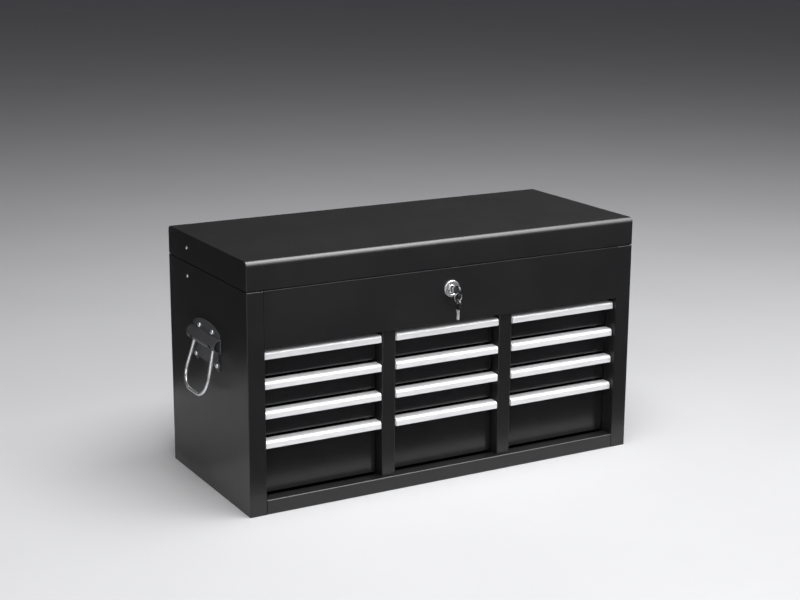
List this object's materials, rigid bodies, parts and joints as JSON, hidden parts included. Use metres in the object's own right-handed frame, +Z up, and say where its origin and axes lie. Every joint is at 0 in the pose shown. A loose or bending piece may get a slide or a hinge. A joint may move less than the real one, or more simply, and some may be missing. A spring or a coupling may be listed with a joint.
{
  "type": "machinist tool chest",
  "caption": "Portable steel tool chest with rows of shallow drawers, full-width pulls, a lift-up lid over a tray, a key lock and a drop handle on each side.",
  "frame": {"origin": "middle of the cabinet's underside", "axes": "+X to the right along the front, +Y to the back, +Z up"},
  "size_m": [0.6474, 0.2894, 0.34],
  "materials": {
    "black_paint": "smooth satin-gloss black enamel",
    "drawer_paint": "smooth satin-gloss black enamel on drawer sheet",
    "handle_paint": "satin dark grey enamel on the pressed handle plates",
    "pull_aluminium": "bright satin extruded aluminium",
    "chrome": "bright nickel-chrome plating",
    "zinc_steel": "zinc-plated steel",
    "hinge_steel": "nickel-plated hinge strip",
    "key_black": "moulded black key bow on a steel blade"
  },
  "bodies": {
    "cabinet": {"left_side_panel": "black_paint", "right_side_panel": "black_paint", "back_panel": "black_paint", "bottom_panel": "black_paint", "fascia_panel": "black_paint", "tray_floor": "black_paint", "left_divider": "black_paint", "right_divider": "black_paint", "left_inner_wall": "black_paint", "right_inner_wall": "black_paint", "left_slides": "zinc_steel", "middle_slides": "zinc_steel", "right_slides": "zinc_steel", "case_hinge_leaf": "hinge_steel", "hinge_pin": "hinge_steel", "case_stay_rivets": "chrome", "lock_housing": "chrome", "left_handle_plate": "handle_paint", "right_handle_plate": "handle_paint", "left_handle_screws": "chrome", "right_handle_screws": "chrome"},
    "lid": {"lid_shell": "black_paint", "lid_striker": "zinc_steel", "lid_hinge_leaf": "hinge_steel", "lid_stay_rivets": "chrome"},
    "left_stay_lower": {"left_stay_lower_arm": "zinc_steel"},
    "left_stay_upper": {"left_stay_upper_arm": "zinc_steel"},
    "right_stay_lower": {"right_stay_lower_arm": "zinc_steel"},
    "right_stay_upper": {"right_stay_upper_arm": "zinc_steel"},
    "lock": {"lock_plug": "chrome", "lock_cam": "zinc_steel", "key": "key_black"},
    "ring": {"key_ring": "chrome"},
    "spare": {"spare_key": "key_black"},
    "left_bail": {"left_bail": "chrome"},
    "right_bail": {"right_bail": "chrome"},
    "drawer_left_1": {"drawer_left_1": "drawer_paint", "pull_left_1": "pull_aluminium"},
    "drawer_left_2": {"drawer_left_2": "drawer_paint", "pull_left_2": "pull_aluminium"},
    "drawer_left_3": {"drawer_left_3": "drawer_paint", "pull_left_3": "pull_aluminium"},
    "drawer_left_4": {"drawer_left_4": "drawer_paint", "pull_left_4": "pull_aluminium"},
    "drawer_middle_1": {"drawer_middle_1": "drawer_paint", "pull_middle_1": "pull_aluminium"},
    "drawer_middle_2": {"drawer_middle_2": "drawer_paint", "pull_middle_2": "pull_aluminium"},
    "drawer_middle_3": {"drawer_middle_3": "drawer_paint", "pull_middle_3": "pull_aluminium"},
    "drawer_middle_4": {"drawer_middle_4": "drawer_paint", "pull_middle_4": "pull_aluminium"},
    "drawer_right_1": {"drawer_right_1": "drawer_paint", "pull_right_1": "pull_aluminium"},
    "drawer_right_2": {"drawer_right_2": "drawer_paint", "pull_right_2": "pull_aluminium"},
    "drawer_right_3": {"drawer_right_3": "drawer_paint", "pull_right_3": "pull_aluminium"},
    "drawer_right_4": {"drawer_right_4": "drawer_paint", "pull_right_4": "pull_aluminium"}
  },
  "joints": [
    {"name": "lid_open", "type": "hinge", "parent": "cabinet", "child": "lid", "pos_m": [0, 0.133, 0.3005], "axis": [-1, 0, 0], "range_deg": [0, 95]},
    {"name": "left_stay_lower_turn", "type": "hinge", "parent": "cabinet", "child": "left_stay_lower", "pos_m": [-0.295, 0.064, 0.282], "axis": [-1, 0, 0], "range_deg": [0, 95]},
    {"name": "right_stay_lower_turn", "type": "hinge", "parent": "cabinet", "child": "right_stay_lower", "pos_m": [0.295, 0.064, 0.282], "axis": [-1, 0, 0], "range_deg": [0, 95]},
    {"name": "left_stay_upper_turn", "type": "hinge", "parent": "lid", "child": "left_stay_upper", "pos_m": [-0.293, 0.064, 0.321], "axis": [-1, 0, 0], "range_deg": [-95, 0]},
    {"name": "right_stay_upper_turn", "type": "hinge", "parent": "lid", "child": "right_stay_upper", "pos_m": [0.293, 0.064, 0.321], "axis": [-1, 0, 0], "range_deg": [-95, 0]},
    {"name": "lock_turn", "type": "hinge", "parent": "cabinet", "child": "lock", "pos_m": [0, -0.13, 0.2715], "axis": [0, 1, 0], "range_deg": [0, 90]},
    {"name": "ring_swing", "type": "hinge", "parent": "lock", "child": "ring", "pos_m": [0, -0.1475, 0.2695], "axis": [1, 0, 0], "range_deg": [-20, 20]},
    {"name": "spare_key_hang", "type": "hinge", "parent": "ring", "child": "spare", "pos_m": [0, -0.1475, 0.26272], "axis": [0, 1, 0], "range_deg": [-90, 0]},
    {"name": "left_bail_lift", "type": "hinge", "parent": "cabinet", "child": "left_bail", "pos_m": [-0.3043, 0, 0.205], "axis": [0, 1, 0], "range_deg": [0, 76]},
    {"name": "right_bail_lift", "type": "hinge", "parent": "cabinet", "child": "right_bail", "pos_m": [0.3043, 0, 0.205], "axis": [0, -1, 0], "range_deg": [0, 76]},
    {"name": "drawer_left_1_slide", "type": "slide", "parent": "cabinet", "child": "drawer_left_1", "axis": [0, -1, 0], "range_m": [0, 0.17]},
    {"name": "drawer_left_2_slide", "type": "slide", "parent": "cabinet", "child": "drawer_left_2", "axis": [0, -1, 0], "range_m": [0, 0.17]},
    {"name": "drawer_left_3_slide", "type": "slide", "parent": "cabinet", "child": "drawer_left_3", "axis": [0, -1, 0], "range_m": [0, 0.17]},
    {"name": "drawer_left_4_slide", "type": "slide", "parent": "cabinet", "child": "drawer_left_4", "axis": [0, -1, 0], "range_m": [0, 0.17]},
    {"name": "drawer_middle_1_slide", "type": "slide", "parent": "cabinet", "child": "drawer_middle_1", "axis": [0, -1, 0], "range_m": [0, 0.17]},
    {"name": "drawer_middle_2_slide", "type": "slide", "parent": "cabinet", "child": "drawer_middle_2", "axis": [0, -1, 0], "range_m": [0, 0.17]},
    {"name": "drawer_middle_3_slide", "type": "slide", "parent": "cabinet", "child": "drawer_middle_3", "axis": [0, -1, 0], "range_m": [0, 0.17]},
    {"name": "drawer_middle_4_slide", "type": "slide", "parent": "cabinet", "child": "drawer_middle_4", "axis": [0, -1, 0], "range_m": [0, 0.17]},
    {"name": "drawer_right_1_slide", "type": "slide", "parent": "cabinet", "child": "drawer_right_1", "axis": [0, -1, 0], "range_m": [0, 0.17]},
    {"name": "drawer_right_2_slide", "type": "slide", "parent": "cabinet", "child": "drawer_right_2", "axis": [0, -1, 0], "range_m": [0, 0.17]},
    {"name": "drawer_right_3_slide", "type": "slide", "parent": "cabinet", "child": "drawer_right_3", "axis": [0, -1, 0], "range_m": [0, 0.17]},
    {"name": "drawer_right_4_slide", "type": "slide", "parent": "cabinet", "child": "drawer_right_4", "axis": [0, -1, 0], "range_m": [0, 0.17]}
  ],
  "couplings": [
    {"joint": "left_stay_lower_turn", "follows": "lid_open", "ratio": 1},
    {"joint": "right_stay_lower_turn", "follows": "lid_open", "ratio": 1},
    {"joint": "left_stay_upper_turn", "follows": "lid_open", "ratio": -1},
    {"joint": "right_stay_upper_turn", "follows": "lid_open", "ratio": -1},
    {"joint": "spare_key_hang", "follows": "lock_turn", "ratio": -1}
  ]
}
